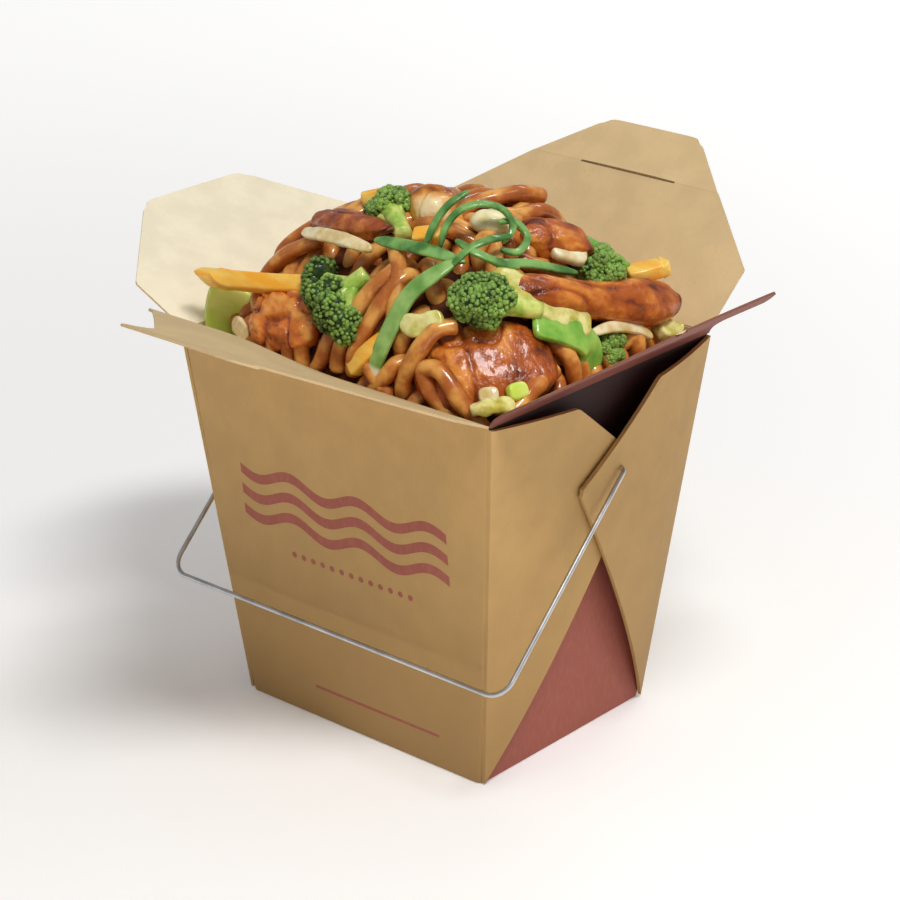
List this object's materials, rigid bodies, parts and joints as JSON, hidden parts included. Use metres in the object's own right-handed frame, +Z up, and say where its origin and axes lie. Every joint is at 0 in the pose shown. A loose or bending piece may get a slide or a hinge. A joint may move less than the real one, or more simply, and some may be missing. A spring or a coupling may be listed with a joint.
{
  "type": "noodle takeaway box",
  "caption": "Open folded-board takeaway pail with four flaps, corner gussets and a swinging wire handle, heaped with saucy noodles, chicken and vegetables.",
  "frame": {"origin": "middle of the underside of the base, on the surface the box stands on", "axes": "+Z up; -Y is the plain front wall; +X and -X are the side walls with the gussets and the handle pivots"},
  "size_m": [0.1853, 0.1867, 0.1512],
  "materials": {
    "kraft": "matt uncoated board with fine fibres",
    "wire": "drawn steel wire, semi-bright",
    "noodle": "wet, glazed with dark sauce",
    "chicken": "browned and glazed",
    "broccoli": "fine buds on a paler stem",
    "carrot": "moist cut root",
    "pepper": "waxy green skin",
    "spring_onion": "thin moist leaf",
    "cabbage": "translucent pale leaf",
    "nut": "smooth pale kernel"
  },
  "bodies": {
    "carton": {"carton": "kraft", "noodles": "noodle", "chicken_front": "chicken", "chicken_left": "chicken", "chicken_top": "chicken", "chicken_slice_top": "chicken", "chicken_long": "chicken", "chicken_back_right": "chicken", "chicken_back": "chicken", "chicken_back_left": "chicken", "broccoli_left": "broccoli", "broccoli_front": "broccoli", "broccoli_right": "broccoli", "broccoli_back_left": "broccoli", "broccoli_small": "broccoli", "broccoli_back": "broccoli", "onion_stalk": "spring_onion", "carrot_left": "carrot", "carrot_right": "carrot", "carrot_diagonal": "carrot", "carrot_top": "carrot", "carrot_back_left": "carrot", "carrot_back": "carrot", "pepper_left": "pepper", "pepper_front": "pepper", "pepper_back": "pepper", "onion_slice": "cabbage", "onion_wedge": "cabbage", "onion_crescent": "cabbage", "cabbage_long": "cabbage", "cabbage_left": "cabbage", "cabbage_front": "cabbage", "cabbage_bit": "cabbage", "cabbage_middle": "cabbage", "cabbage_right": "cabbage", "celery_piece": "pepper", "peanut": "nut", "curl_upright": "spring_onion", "curl_loop": "spring_onion", "curl_left": "spring_onion", "curl_right": "spring_onion", "curl_ring": "spring_onion", "curl_arch": "spring_onion", "curl_bow": "spring_onion"},
    "flap_front": {"flap_front": "kraft"},
    "flap_back": {"flap_back": "kraft"},
    "flap_left": {"flap_left": "kraft"},
    "flap_right": {"flap_right": "kraft"},
    "handle": {"handle": "wire"}
  },
  "joints": [
    {"name": "front_flap_fold", "type": "hinge", "parent": "carton", "child": "flap_front", "pos_m": [0, -0.04445, 0.106], "axis": [-1, 0, 0], "range_deg": [-24, 50]},
    {"name": "back_flap_fold", "type": "hinge", "parent": "carton", "child": "flap_back", "pos_m": [0, 0.04445, 0.106], "axis": [1, 0, 0], "range_deg": [-40, 45]},
    {"name": "left_flap_fold", "type": "hinge", "parent": "carton", "child": "flap_left", "pos_m": [-0.05265, 0, 0.106], "axis": [0, 1, 0], "range_deg": [-26, 60]},
    {"name": "right_flap_fold", "type": "hinge", "parent": "carton", "child": "flap_right", "pos_m": [0.05265, 0, 0.106], "axis": [0, -1, 0], "range_deg": [-34, 45]},
    {"name": "handle_swing", "type": "hinge", "parent": "carton", "child": "handle", "pos_m": [0, 0.0016, 0.0824], "axis": [-1, 0, 0], "range_deg": [-7, 55]}
  ]
}
